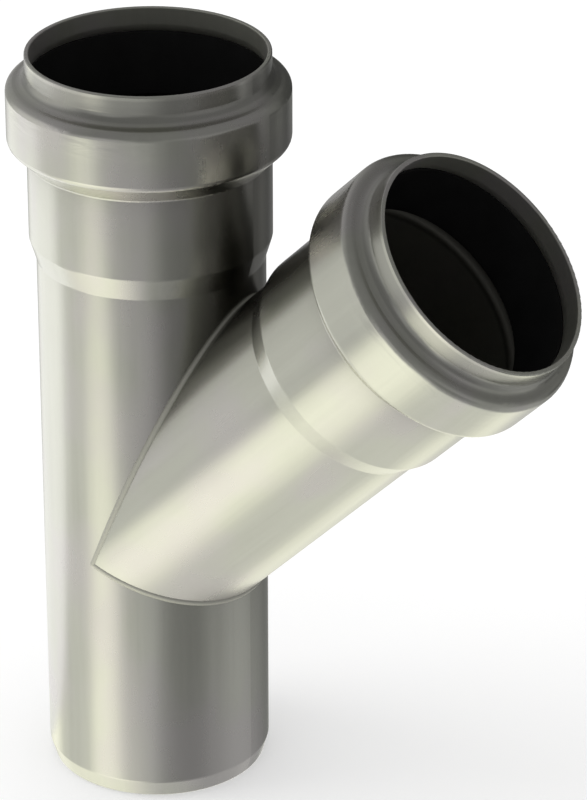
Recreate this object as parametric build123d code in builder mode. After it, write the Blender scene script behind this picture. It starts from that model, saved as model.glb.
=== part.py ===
from build123d import *
import math
import os

# A 45 degree wye for a 50 mm stainless push-fit drain. The run is one tube with a plain
# spigot below and a formed ring-seal socket above, and the branch is a tube with the same
# socket, mitred and welded to the run. A rubber lip seal sits in the bead of each socket.
# Millimetres. The origin is the centre of the spigot's end face, and +Z runs up the run.

# Pipe
pipe_d = 50.0
wall = 1.0
branch_angle = 45.0

# Plain pipe left between the joint of the two tubes and each socket, the spigot's being the
# one that it enters
spigot_neck = 4.745
run_neck = 5.345
branch_neck = 10.345

# Spigot end, formed inwards so that it enters a seal
taper_length = 3.8
taper_drop = 1.15
tip_edge_r = 0.2

# Socket, with its lengths in order down from the rim
socket_slack = 0.5
bead_rise = 4.25
collar_length = 5.9
bead_top_length = 1.0
bead_length = 12.5
shoulder_length = 4.1
insertion_depth = 42.0
cone_length = 5.0
rim_edge_r = 0.25

# Bends of the formed sheet, on its outer skin
collar_bend_r = 2.5
bead_top_bend_r = 2.0
bead_base_bend_r = 1.5
shoulder_foot_bend_r = 0.6
sleeve_bend_r = 1.5
cone_foot_bend_r = 1.0
taper_bend_r = 1.5

# Lip seal, with its lengths measured past the ends of the bead that holds it
seal_gap = 0.1
seal_head = 0.4
seal_heel = 1.2
seal_body_width = 2.6
seal_roof = 5.6
toe_inset = 0.15
lip_squeeze = 1.0
lip_lift = 0.8
lip_land = 1.2
lip_thickness = 1.3
lip_edge_r = 0.3
slot_top_width = 1.0
slot_end_r = 0.4

# Weld bead along the seam
weld_leg = 0.9
weld_crown = 0.12
weld_bury = 15.0
weld_sections = 19

# Derived sizes and places
pipe_r = pipe_d / 2
socket_bore_r = pipe_r + socket_slack
socket_r = socket_bore_r + wall
bead_r = socket_r + bead_rise
lip_r = pipe_r - lip_squeeze

# Depths down from a socket's rim
bead_top_depth = collar_length + bead_top_length
bead_base_depth = bead_top_depth + bead_length
shoulder_foot_depth = bead_base_depth + shoulder_length
cone_foot_depth = insertion_depth + cone_length
seal_top_depth = collar_length - seal_head
seal_base_depth = bead_base_depth + seal_heel
slot_top_depth = bead_top_depth + seal_roof
lip_depth = bead_base_depth - lip_lift

# Lengths along the axes, measured from where the two axes cross. The joint ends at the
# crotch above, which is as far up either axis, and at the heel below.
lean = math.radians(branch_angle)
crotch_leg = pipe_r / math.tan(lean / 2)
heel_leg = pipe_r * math.tan(lean / 2)
spigot_leg = heel_leg + spigot_neck + insertion_depth
run_leg = crotch_leg + run_neck + cone_foot_depth
branch_leg = crotch_leg + branch_neck + cone_foot_depth
reach = run_leg + branch_leg

# Axes of the run and the branch
junction = Vector(0, 0, spigot_leg)
branch_dir = Vector(math.sin(lean), 0, math.cos(lean))
branch_side = Vector(math.cos(lean), 0, -math.sin(lean))
branch_axis = Axis(junction, branch_dir)

# Two equal tubes meet on two flat mitres through the crossing. The upper one halves the
# angle between the axes, and the lower one is square to it.
upper_seam_dir = Vector(math.sin(lean / 2), 0, math.cos(lean / 2))
lower_seam_dir = Vector(math.cos(lean / 2), 0, -math.sin(lean / 2))

# Section planes, with the radius along x and the way up or out along y
run_plane = Plane.XZ
branch_plane = Plane(origin=junction, x_dir=branch_side, z_dir=(0, -1, 0))


def tube_section(foot, foot_bends, rim):
    """A tube wall's section, from the corners of its foot up to a socket with this rim."""
    skin = foot + [
        (pipe_r, rim - cone_foot_depth),
        (socket_r, rim - insertion_depth),
        (socket_r, rim - shoulder_foot_depth),
        (bead_r, rim - bead_base_depth),
        (bead_r, rim - bead_top_depth),
        (socket_r, rim - collar_length),
        (socket_r, rim),
    ]
    bends = foot_bends + [
        cone_foot_bend_r,
        sleeve_bend_r,
        shoulder_foot_bend_r,
        bead_base_bend_r,
        bead_top_bend_r,
        collar_bend_r,
    ]
    with BuildSketch() as section:
        with BuildLine():
            outer = FilletPolyline(*skin, radius=bends)
            offset(outer, amount=wall, side=Side.LEFT)
        make_face()
        fillet(section.vertices().group_by(Axis.Y)[-1], rim_edge_r)
    return section.sketch


def seal_section(tube_wall, rim):
    """A lip seal's section: a body that fills the bead, with a slot behind its leaning lip."""
    slot_side_r = bead_r - wall - seal_body_width
    lip_end = rim - lip_depth - lip_land
    corners = [
        (socket_bore_r - toe_inset, rim - seal_top_depth),
        (lip_r, rim - lip_depth),
        (lip_r, lip_end),
        (lip_r + lip_thickness, lip_end),
        (slot_side_r - slot_top_width, rim - slot_top_depth),
        (slot_side_r, rim - slot_top_depth),
        (slot_side_r, rim - seal_base_depth),
        (bead_r, rim - seal_base_depth),
        (bead_r, rim - seal_top_depth),
    ]
    bends = [0, 0, lip_edge_r, lip_edge_r, slot_end_r, slot_end_r, lip_edge_r, 0, 0]
    with BuildSketch() as section:
        with BuildLine():
            FilletPolyline(*corners, radius=bends, close=True)
        make_face()
        offset(tube_wall, amount=seal_gap, mode=Mode.SUBTRACT)
    return section.faces().sort_by(Axis.X)[0]


def weld_plane(seam_dir, sine, turn):
    """The plane across the seam at one turn, x out of the joint, and half the walls' gap there.

    A turn of 90 degrees either way is a side of the tubes, where both seams meet.
    """
    side = Vector(0, math.sin(turn), 0)
    run_out = pipe_r / sine
    point = junction + side * pipe_r + seam_dir * (run_out * math.cos(turn))
    along = Vector(0, pipe_r * math.cos(turn), 0) - seam_dir * (run_out * math.sin(turn))
    outward = side + seam_dir * (sine * math.cos(turn))
    half_gap = math.asin(min(outward.length, 1))
    return Plane(origin=point, x_dir=outward, z_dir=along), half_gap


def weld_corners(half_gap):
    """The crest and one buried toe of the weld's section, as heights and widths."""
    crest = weld_leg * math.cos(half_gap) + weld_crown
    toe_turn = half_gap + math.radians(weld_bury)
    return crest, (weld_leg * math.cos(toe_turn), weld_leg * math.sin(toe_turn))


# Run tube: spigot, body and upper socket in one piece, cut away where the branch enters
run_rim = spigot_leg + run_leg
run_foot = [(pipe_r - 2 * taper_drop, -taper_length), (pipe_r, taper_length)]
run_wall = tube_section(run_foot, [taper_bend_r], run_rim)

with BuildPart() as run_tube:
    with BuildSketch(run_plane):
        add(run_wall)
    revolve(axis=Axis.Z)
    split(bisect_by=Plane.XY, keep=Keep.TOP)
    fillet(run_tube.edges().group_by(Axis.Z)[0], tip_edge_r)
    with BuildSketch(run_plane.offset(-pipe_d)):
        with Locations((junction.X, junction.Z)):
            Polygon(
                (0, 0),
                (lower_seam_dir.X * reach, lower_seam_dir.Z * reach),
                (upper_seam_dir.X * reach, upper_seam_dir.Z * reach),
                align=None,
            )
    extrude(amount=2 * pipe_d, mode=Mode.SUBTRACT)

run_tube.part.label = "run_tube"

# Branch tube: mitred at its foot, with its socket at the mouth
branch_foot = [(pipe_r, -wall)]
branch_wall = tube_section(branch_foot, [], branch_leg)

with BuildPart() as branch_tube:
    with BuildSketch(branch_plane):
        add(branch_wall)
    revolve(axis=branch_axis)
    split(bisect_by=Plane(origin=junction, z_dir=upper_seam_dir), keep=Keep.TOP)
    split(bisect_by=Plane(origin=junction, z_dir=lower_seam_dir), keep=Keep.TOP)

branch_tube.part.label = "branch_tube"

# Lip seals, one in each bead
with BuildPart() as run_seal:
    with BuildSketch(run_plane):
        add(seal_section(run_wall, run_rim))
    revolve(axis=Axis.Z)

run_seal.part.label = "run_seal"

with BuildPart() as branch_seal:
    with BuildSketch(branch_plane):
        add(seal_section(branch_wall, branch_leg))
    revolve(axis=branch_axis)

branch_seal.part.label = "branch_seal"

# The space that the two pipes take, which the weld only touches
with BuildPart() as pipe_space:
    with Locations(junction):
        Cylinder(pipe_r, 2 * reach)
    with Locations(Plane(origin=junction, z_dir=branch_dir)):
        Cylinder(pipe_r, 2 * reach)

# Weld: two lofts along the half ellipses of the seam, joined by a ball on each side, less
# the pipes' space
seams = [(upper_seam_dir, math.sin(lean / 2)), (lower_seam_dir, math.cos(lean / 2))]
quarter_turn = math.pi / 2

with BuildPart() as seam_weld:
    for seam_dir, sine in seams:
        for step in range(weld_sections):
            turn = quarter_turn * (2 * step / (weld_sections - 1) - 1)
            place, half_gap = weld_plane(seam_dir, sine, turn)
            crest, (toe_height, toe_width) = weld_corners(half_gap)
            with BuildSketch(place):
                with BuildLine():
                    ThreePointArc((toe_height, toe_width), (crest, 0), (toe_height, -toe_width))
                    Polyline((toe_height, -toe_width), (-weld_leg, 0), (toe_height, toe_width))
                make_face()
        loft()
    crest, (toe_height, toe_width) = weld_corners(quarter_turn)
    sagitta = crest - toe_height
    ball_r = (sagitta**2 + toe_width**2) / (2 * sagitta)
    with Locations((0, pipe_r + crest - ball_r, junction.Z), (0, ball_r - pipe_r - crest, junction.Z)):
        Sphere(ball_r)
    add(pipe_space.part, mode=Mode.SUBTRACT)

seam_weld.part.label = "seam_weld"

os.makedirs("parts", exist_ok=True)
export_step(run_tube.part, "parts/run_tube.step")
export_step(branch_tube.part, "parts/branch_tube.step")
export_step(run_seal.part, "parts/run_seal.step")
export_step(branch_seal.part, "parts/branch_seal.step")
export_step(seam_weld.part, "parts/seam_weld.step")
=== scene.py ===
import math

import bpy
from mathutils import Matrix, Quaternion, Vector

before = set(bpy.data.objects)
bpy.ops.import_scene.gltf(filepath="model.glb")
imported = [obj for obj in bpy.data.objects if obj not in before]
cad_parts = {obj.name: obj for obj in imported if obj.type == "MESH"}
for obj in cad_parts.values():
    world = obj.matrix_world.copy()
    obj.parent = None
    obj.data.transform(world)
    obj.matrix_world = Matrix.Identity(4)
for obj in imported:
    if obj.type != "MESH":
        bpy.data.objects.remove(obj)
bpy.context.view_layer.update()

# The fitting in metres. The run stands up Z from the origin, and the branch leans towards +X
# from where their axes cross. A rim is how far up its own tube's axis a socket ends.
RUN_ORIGIN = (0, 0, 0)
CROSSING = (0, 0, 0.0571)
LEAN = math.radians(45)
RUN_RIM = 0.1698
BRANCH_RIM = 0.1177

# Depths below a rim at which a look is still absent and at which it is full
SOCKET_DEPTHS = (0.047, 0.043)
COLLAR_DEPTHS = (0.0059, 0.0054)
WORN_DEPTHS = (0.0012, 0.0006)
BORE_DEPTHS = (0.0236, 0.0250)
MARKS_LOW_DEPTHS = (0.014, 0.010)
MARKS_HIGH_DEPTHS = (0.002, 0.004)

# Steel of the tubes: its tones, the shares of what is laid over or mixed in, and the values of
# the noise between which a cooler patch fades in
STEEL_DARK = (0.645, 0.650, 0.575, 1)
STEEL_LIGHT = (0.828, 0.832, 0.748, 1)
STEEL_COOL = (0.757, 0.730, 0.710, 1)
STEEL_DULL = (0.50, 0.50, 0.46, 1)
STREAK_SHARE = 0.55
COOL_SHARE = 0.9
COOL_EDGE = (0.42, 0.66)
DULL_SHARE = 0.65
RING_STREAK_SHARE = 0.3

# Its roughness from dark to light tone, what patches and handling add, and that of the inside
STEEL_ROUGHNESS = (0.18, 0.25)
COOL_ROUGHNESS = 0.04
HANDLED_ROUGHNESS = 0.05
INSIDE_ROUGHNESS = 0.55

# Its relief, as the height of each pattern in metres and its strength
WAVES_RELIEF = (0.00012, 0.32)
GRAIN_RELIEF = (0.000010, 0.5)
MARKS_RELIEF = (0.00010, 0.45)

# Weld
WELD_DARK = (0.74, 0.735, 0.66, 1)
WELD_LIGHT = (0.82, 0.815, 0.74, 1)
WELD_ROUGHNESS = (0.50, 0.60)
RIPPLE_RELIEF = (0.00002, 0.25)
WELD_GRAIN_RELIEF = (0.00002, 0.2)

# Rubber
RUBBER_DARK = (0.004, 0.004, 0.004, 1)
RUBBER_LIGHT = (0.009, 0.009, 0.009, 1)
RUBBER_ROUGHNESS = (0.60, 0.80)
RUBBER_SPECULAR = 0.12
RUBBER_RELIEF = (0.00002, 0.25)

# Painted shade in crevices, which darkens the colour by ambient occlusion: how far out the air about a
# point counts, the shares of open air at which it is full and gone, how fast it thins out, and the least
# shares of the colour that it leaves unshaded down a bore and on the weld
PAINTED_SHADE_REACH = 0.06
PAINTED_SHADE_FADE = (0.15, 0.98)
PAINTED_SHADE_POWER = 1.6
PAINTED_SHADE_COLOUR = (0.25, 0.245, 0.22, 1)
PAINTED_SHADE_SAMPLES = 8
BORE_SPARED = 0.42
WELD_SPARED = 0.55

# Camera, fitted to the photograph's frame
VIEW_AZIMUTH = 32.6
VIEW_ELEVATION = 26.07
VIEW_ROLL = math.radians(-0.13)
VIEW_TARGET = Vector((0.0266, 0.0156, 0.0875))
VIEW_DISTANCE = 1.0021
LENS_MM = 204.4
SENSOR_MM = 36.0
CLIP_START = 0.01
CLIP_END = 50

# Lamp, with its distance and width in metres and its power in watts
LAMP_AZIMUTH = -60
LAMP_ELEVATION = 50
LAMP_DISTANCE = 2.0
LAMP_SIZE = 1.2
LAMP_POWER = 8

# World, as bright as white to what sees it and less bright as a light on the object
WHITE = (1, 1, 1, 1)
WORLD_WHITE = 1.0
WORLD_LIGHT = 0.8

# Floor, a hair below the spigot's end so that the two faces don't meet
FLOOR_SIZE = 12.0
FLOOR_DROP = 0.0002
FLOOR_COLOUR = (0.82, 0.82, 0.82, 1)
FLOOR_GLOW = 0.30

# The metal sees the floor inside the spigot, and out to its left as far as the table reaches.
# Elsewhere it sees the cloth of the studio's tent. Angles are in degrees.
BORE_R = 0.0233
TABLE_AZIMUTH = -92
TABLE_SPREAD = (22, 34)
TABLE_REACH = (0.36, 0.50)

# The tent's own tone, and the tones at which its light starts to turn cream and is fully so
TENT_RADIUS = 3.0
TENT_SEGMENTS = 64
TENT_RINGS = 32
TENT_TONE = 0.18
CREAM = (1, 0.995, 0.88, 1)
CREAM_TONES = (0.4, 1.0)

# The soft round cards and flags in the tent, each with its azimuth and elevation, the angles at
# which it starts and ends to fade, and its tone, with 1 as white. A later one covers the earlier.
TENT_CARDS = [
    ("left_wall", -95, 5, 10, 80, 0.32),
    ("bright_floor", 0, -90, 62, 74, 1.04),
    ("left_haze", -66, -10, 14, 42, 0.61),
    ("front_haze", -4, -10, 10, 30, 0.40),
    ("cream_band", -21, -30, 5, 18, 0.92),
    ("front_lamp", -25, -39, 6, 20, 1.20),
    ("right_flag", 82, -36, 34, 62, 0.28),
    ("right_dark", 60, -18, 8, 22, 0.18),
    ("back_right_flag", 134, -38, 12, 32, 0.37),
    ("back_flag", 176, -24, 12, 30, 0.24),
    ("back_dark", -172, 4, 18, 40, 0.06),
    ("right_strip", 148, -16, 5, 14, 0.10),
    ("under", 20, -88, 8, 34, 0.71),
    ("left_lamp", -108, -28, 6, 16, 1.20),
    ("front_dip", -54, -20, 6, 20, 0.64),
    ("front_fall", 14, -16, 6, 22, 0.34),
    ("back_left", -139, -15, 8, 26, 0.48),
    ("right_fall", 72, -23, 4, 16, 0.18),
    ("back_edge", -168, -24, 4, 12, 0.20),
]


def direction(azimuth, elevation):
    """The unit vector at an azimuth, counted from -Y towards +X, and an elevation, in degrees."""
    a, e = math.radians(azimuth), math.radians(elevation)
    return Vector((math.sin(a) * math.cos(e), -math.cos(a) * math.cos(e), math.sin(e)))


class Nodes:
    """A short way to write one node tree. What a method gives back is an output to link."""

    def __init__(self, tree):
        self.tree = tree
        tree.nodes.clear()

    def add(self, kind, inputs=None, **settings):
        """The node itself, with its settings, and its inputs by socket name or number."""
        node = self.tree.nodes.new(kind)
        for name, value in settings.items():
            setattr(node, name, value)
        for name, value in (inputs or {}).items():
            self.put(node, name, value)
        return node

    def put(self, node, name, value):
        """Link an output to a node's input, or set the input's own value."""
        socket = node.inputs[name]
        if isinstance(value, bpy.types.NodeSocket):
            self.tree.links.new(value, socket)
        else:
            socket.default_value = value

    def math(self, operation, a, b=0.0, clamp=False):
        node = self.add("ShaderNodeMath", {0: a, 1: b}, operation=operation, use_clamp=clamp)
        return node.outputs[0]

    def dot(self, a, b, label=""):
        """The dot product of two vectors."""
        node = self.add("ShaderNodeVectorMath", {0: a, 1: b}, operation="DOT_PRODUCT", label=label)
        return node.outputs["Value"]

    def length(self, vector):
        return self.add("ShaderNodeVectorMath", {0: vector}, operation="LENGTH").outputs["Value"]

    def unit(self, vector):
        """The vector made one long."""
        return self.add("ShaderNodeVectorMath", {0: vector}, operation="NORMALIZE").outputs[0]

    def scale(self, value, low, high, start=0.0, end=1.0, kind="LINEAR"):
        """An even change from low to high while the value goes from start to end."""
        inputs = {"Value": value, "From Min": start, "From Max": end, "To Min": low, "To Max": high}
        return self.add("ShaderNodeMapRange", inputs, interpolation_type=kind).outputs[0]

    def fade(self, value, start, end, low=0.0, high=1.0):
        """The same change, but soft at both ends. The start may be above the end."""
        return self.scale(value, low, high, start, end, "SMOOTHSTEP")

    def blend(self, factor, a, b):
        """A number between two."""
        return self.add("ShaderNodeMix", {0: factor, 2: a, 3: b}, data_type="FLOAT").outputs[0]

    def tint(self, factor, a, b):
        """A colour between two."""
        return self.add("ShaderNodeMix", {0: factor, 6: a, 7: b}, data_type="RGBA").outputs[2]

    def coordinates(self, what="Object"):
        return self.add("ShaderNodeTexCoord").outputs[what]

    def place(self, turn=0.0, origin=(0, 0, 0), what="Object"):
        """The object's own coordinates from an origin, turned about Y so that Z runs up a tube."""
        inputs = {"Vector": self.coordinates(what), "Location": origin, "Rotation": (0, turn, 0)}
        return self.add("ShaderNodeMapping", inputs, vector_type="TEXTURE").outputs[0]

    def stretch(self, where, x=1, y=1, z=1):
        """Coordinates times a number on each axis, where a small one draws a pattern out."""
        return self.add("ShaderNodeMapping", {"Vector": where, "Scale": (x, y, z)}).outputs[0]

    def noise(self, where, scale, detail=2.0, roughness=0.5, distortion=0.0):
        inputs = {
            "Vector": where, "Scale": scale, "Detail": detail,
            "Roughness": roughness, "Distortion": distortion,
        }
        return self.add("ShaderNodeTexNoise", inputs).outputs["Fac"]

    def with_painted_shade(self, colour, spared):
        """The colour darkened in its crevices by ambient occlusion, a painted shade, of which at least
        the spared share stays unshaded.
        """
        inputs = {"Distance": PAINTED_SHADE_REACH}
        air = self.add("ShaderNodeAmbientOcclusion", inputs, samples=PAINTED_SHADE_SAMPLES).outputs["AO"]
        unshaded = self.math("POWER", self.scale(air, 0.0, 1.0, *PAINTED_SHADE_FADE), PAINTED_SHADE_POWER)
        return self.tint(self.math("MAXIMUM", unshaded, spared), PAINTED_SHADE_COLOUR, colour)

    def bump(self, pattern, height, strength, under=None):
        """A normal that a pattern's relief bends, on top of the one under it."""
        inputs = {"Height": pattern, "Distance": height, "Strength": strength}
        if under:
            inputs["Normal"] = under
        return self.add("ShaderNodeBump", inputs).outputs[0]

    def show(self, shader, kind="ShaderNodeOutputMaterial"):
        """Make a shader node the tree's surface."""
        self.add(kind, {"Surface": shader.outputs[0]})

    def skin(self, colour, roughness, relief, constants):
        """Show a principled shader, with what is the same all over it on its own sockets."""
        inputs = {"Base Color": colour, "Roughness": roughness, "Normal": relief}
        self.show(self.add("ShaderNodeBsdfPrincipled", {**inputs, **constants}))


def new_material(name):
    material = bpy.data.materials.new(name)
    material.use_nodes = True
    return material, Nodes(material.node_tree)


def tube_colour(n, depth, inside, mottle, patches):
    """Mottled steel with cooler patches, a duller collar with a worn edge, and painted shade in crevices.
    """
    collar = n.fade(depth, *COLLAR_DEPTHS)
    colour = n.tint(mottle, STEEL_DARK, STEEL_LIGHT)
    colour = n.tint(patches, colour, STEEL_COOL)
    dull = n.math("SUBTRACT", collar, n.fade(depth, *WORN_DEPTHS))
    dull = n.math("MULTIPLY", dull, n.math("SUBTRACT", 1, inside), clamp=True)
    colour = n.tint(n.math("MULTIPLY", dull, DULL_SHARE), colour, STEEL_DULL)

    # There is no painted shade on the collar's inside, and less down the bore
    bore = n.math("MULTIPLY", n.fade(depth, *BORE_DEPTHS), BORE_SPARED)
    return n.with_painted_shade(colour, n.math("MULTIPLY", inside, n.math("MAXIMUM", collar, bore)))


def tube_roughness(n, along, inside, mottle, patches):
    """A satin that the mottling, the patches and some handling make uneven, and a dull inside."""
    handling = n.noise(along, scale=95.0, detail=4.0, roughness=0.6)
    outside = n.scale(mottle, *STEEL_ROUGHNESS)
    outside = n.math("ADD", outside, n.math("MULTIPLY", patches, COOL_ROUGHNESS))
    outside = n.math("ADD", outside, n.math("MULTIPLY", handling, HANDLED_ROUGHNESS))
    return n.blend(inside, outside, INSIDE_ROUGHNESS)


def tube_relief(n, along, depth, streaks):
    """Slow waves of the rolled sheet, streaks on the pipe, and rings and marks on the socket."""
    waves = n.noise(n.stretch(along, z=0.35), scale=52.0, detail=1.0)
    rings = n.noise(n.stretch(along, x=0.05, y=0.05), scale=900.0, detail=3.0, roughness=0.6)
    marks = n.noise(n.stretch(along, x=0.22, y=0.22), scale=480.0, distortion=0.5)
    socket = n.fade(depth, *SOCKET_DEPTHS)
    grain = n.blend(socket, streaks, n.blend(RING_STREAK_SHARE, rings, streaks))
    formed = n.math("MULTIPLY", n.fade(depth, *MARKS_LOW_DEPTHS), n.fade(depth, *MARKS_HIGH_DEPTHS))
    relief = n.bump(waves, *WAVES_RELIEF)
    relief = n.bump(grain, *GRAIN_RELIEF, relief)
    return n.bump(n.math("MULTIPLY", marks, formed), *MARKS_RELIEF, relief)


def tube_steel(name, turn, origin, rim):
    """Pickled stainless tube: streaks along it, rings where its socket was formed, and wear."""
    material, n = new_material(name)
    along = n.place(turn, origin)
    depth = n.math("SUBTRACT", rim, n.add("ShaderNodeSeparateXYZ", {0: along}).outputs["Z"])
    outward = n.dot(n.place(turn, what="Normal"), n.stretch(along, z=0))
    inside = n.math("LESS_THAN", outward, 0.0)

    # Mottling, which is broad clouds with long streaks from the mill, and patches apart from it
    clouds = n.noise(along, scale=38.0, detail=3.0)
    streaks = n.noise(n.stretch(along, z=0.03), scale=420.0, detail=3.0, roughness=0.6)
    mottle = n.blend(STREAK_SHARE, clouds, streaks)
    patches = n.noise(n.stretch(along, z=0.6), scale=60.0)
    patches = n.fade(patches, *COOL_EDGE, high=COOL_SHARE)

    colour = tube_colour(n, depth, inside, mottle, patches)
    roughness = tube_roughness(n, along, inside, mottle, patches)
    relief = tube_relief(n, along, depth, streaks)
    n.skin(colour, roughness, relief, {"Metallic": 1.0})
    return material


def weld_steel(name):
    """The weld: fine ripples, and a rougher skin than the tubes have."""
    material, n = new_material(name)
    where = n.coordinates()
    clouds = n.noise(where, scale=240.0, detail=3.0)
    grain = n.noise(where, scale=1400.0)
    wave = {"Vector": where, "Scale": 260.0, "Distortion": 3.0, "Detail": 2.0, "Detail Scale": 2.0}
    ripple = n.add("ShaderNodeTexWave", wave, bands_direction="Y").outputs["Fac"]
    # The weld's colour is darkened where it meets the tubes, a painted shade in the crevice
    colour = n.with_painted_shade(n.tint(clouds, WELD_DARK, WELD_LIGHT), WELD_SPARED)
    relief = n.bump(grain, *WELD_GRAIN_RELIEF, n.bump(ripple, *RIPPLE_RELIEF))
    n.skin(colour, n.scale(clouds, *WELD_ROUGHNESS), relief, {"Metallic": 1.0})
    return material


def rubber(name):
    """Black moulded rubber with a fine grain, and a tone and gloss that are a little uneven."""
    material, n = new_material(name)
    where = n.coordinates()
    clouds = n.noise(where, scale=160.0, detail=4.0, roughness=0.6)
    grain = n.noise(where, scale=2200.0)
    colour = n.tint(clouds, RUBBER_DARK, RUBBER_LIGHT)
    roughness = n.scale(clouds, *RUBBER_ROUGHNESS)
    n.skin(colour, roughness, n.bump(grain, *RUBBER_RELIEF), {"Specular IOR Level": RUBBER_SPECULAR})
    return material


def dress(node, material):
    """Give a CAD object one material all over."""
    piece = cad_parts[node]
    piece.data.materials.clear()
    piece.data.materials.append(material)
    for face in piece.data.polygons:
        face.material_index = 0


def light_path(n):
    """The light path's outputs, and 1 for the rays that see the background as white."""
    path = n.add("ShaderNodeLightPath").outputs
    seen = n.math("ADD", path["Is Camera Ray"], path["Is Glossy Ray"])
    return path, n.math("ADD", seen, path["Is Transmission Ray"], clamp=True)


def facing(n, heading, azimuth, elevation, inner, outer, label=""):
    """1 where a heading is within the inner angle of a direction, fading to 0 at the outer one."""
    full, gone = math.cos(math.radians(inner)), math.cos(math.radians(outer))
    return n.fade(n.dot(heading, direction(azimuth, elevation), label), gone, full)


def make_floor():
    """A white floor with the object's shadow. From below it is clear, so the base can be seen."""
    bpy.ops.mesh.primitive_plane_add(size=FLOOR_SIZE, location=(0, 0, -FLOOR_DROP))
    floor = bpy.context.object
    floor.name = "floor"
    material, n = new_material("pale_floor")
    path, seen = light_path(n)
    where = n.coordinates()
    radius = n.length(where)
    outside = n.math("GREATER_THAN", radius, BORE_R)

    # Reflections pass through it to the tent, but not under the bore or where the table is
    table = facing(n, n.unit(where), TABLE_AZIMUTH, 0, *TABLE_SPREAD)
    table = n.math("MULTIPLY", table, n.fade(radius, *TABLE_REACH, low=1.0, high=0.0))
    studio = n.math("MULTIPLY", outside, n.math("SUBTRACT", 1, table))
    clear = n.math("MULTIPLY", path["Is Glossy Ray"], studio)
    clear = n.math("MAXIMUM", clear, n.add("ShaderNodeNewGeometry").outputs["Backfacing"])

    matte = n.add("ShaderNodeBsdfDiffuse", {"Color": FLOOR_COLOUR})
    strength = n.math("MULTIPLY", n.math("MULTIPLY", seen, outside), FLOOR_GLOW)
    glow = n.add("ShaderNodeEmission", {"Color": WHITE, "Strength": strength})
    white = n.add("ShaderNodeAddShader", {0: matte.outputs[0], 1: glow.outputs[0]})
    nothing = n.add("ShaderNodeBsdfTransparent")
    n.show(n.add("ShaderNodeMixShader", {0: clear, 1: white.outputs[0], 2: nothing.outputs[0]}))
    material.cycles.emission_sampling = "NONE"
    floor.data.materials.append(material)

    # With no shadow of its own, the floor doesn't count as a wall of a crevice in the painted shade
    floor.visible_shadow = False


def make_world():
    """White to the camera, and a plain soft light on the object. The tent hides it from reflections."""
    world = bpy.data.worlds.new("studio")
    bpy.context.scene.world = world
    world.use_nodes = True
    n = Nodes(world.node_tree)
    seen = light_path(n)[1]
    strength = n.scale(seen, WORLD_LIGHT, WORLD_WHITE)
    n.show(n.add("ShaderNodeBackground", {"Color": WHITE, "Strength": strength}), "ShaderNodeOutputWorld")


def make_tent():
    """The tent of cloth about the studio, with its cards and flags, which only reflections see."""
    bpy.ops.mesh.primitive_uv_sphere_add(
        radius=TENT_RADIUS, segments=TENT_SEGMENTS, ring_count=TENT_RINGS)
    tent = bpy.context.object
    tent.name = "light_tent"
    material, n = new_material("tent_cloth")
    heading = n.unit(n.coordinates())
    tone = TENT_TONE
    for name, azimuth, elevation, inner, outer, value in TENT_CARDS:
        card = facing(n, heading, azimuth, elevation, inner, outer, name)
        tone = n.blend(card, tone, value)
    light = n.tint(n.fade(tone, *CREAM_TONES), WHITE, CREAM)
    n.show(n.add("ShaderNodeEmission", {"Color": light, "Strength": tone}))
    material.cycles.emission_sampling = "NONE"
    tent.data.materials.append(material)
    tent.visible_camera = False
    tent.visible_diffuse = False
    tent.visible_shadow = False
    tent.visible_transmission = False


def aim(name, data, toward, distance):
    """A lamp or camera object, off in a direction from the view's target and turned to face it."""
    holder = bpy.data.objects.new(name, data)
    bpy.context.scene.collection.objects.link(holder)
    holder.location = VIEW_TARGET + toward * distance
    holder.rotation_mode = "QUATERNION"
    holder.rotation_quaternion = (-toward).to_track_quat("-Z", "Y")
    return holder


def make_lamp():
    lamp = bpy.data.lights.new("key_lamp", "AREA")
    lamp.shape = "DISK"
    lamp.size = LAMP_SIZE
    lamp.energy = LAMP_POWER
    holder = aim("key_lamp", lamp, direction(LAMP_AZIMUTH, LAMP_ELEVATION), LAMP_DISTANCE)
    holder.visible_glossy = False


def make_camera():
    camera = bpy.data.cameras.new("camera")
    camera.lens = LENS_MM
    camera.sensor_width = SENSOR_MM
    camera.clip_start = CLIP_START
    camera.clip_end = CLIP_END
    holder = aim("camera", camera, direction(VIEW_AZIMUTH, VIEW_ELEVATION), VIEW_DISTANCE)
    holder.rotation_quaternion = holder.rotation_quaternion @ Quaternion((0, 0, 1), VIEW_ROLL)
    bpy.context.scene.camera = holder


dress("run_tube", tube_steel("run_steel", 0.0, RUN_ORIGIN, RUN_RIM))
dress("branch_tube", tube_steel("branch_steel", LEAN, CROSSING, BRANCH_RIM))
dress("seam_weld", weld_steel("weld_steel"))
black = rubber("seal_rubber")
dress("run_seal", black)
dress("branch_seal", black)

make_floor()
make_world()
make_tent()
make_lamp()
make_camera()
bpy.context.scene.view_settings.view_transform = "Standard"
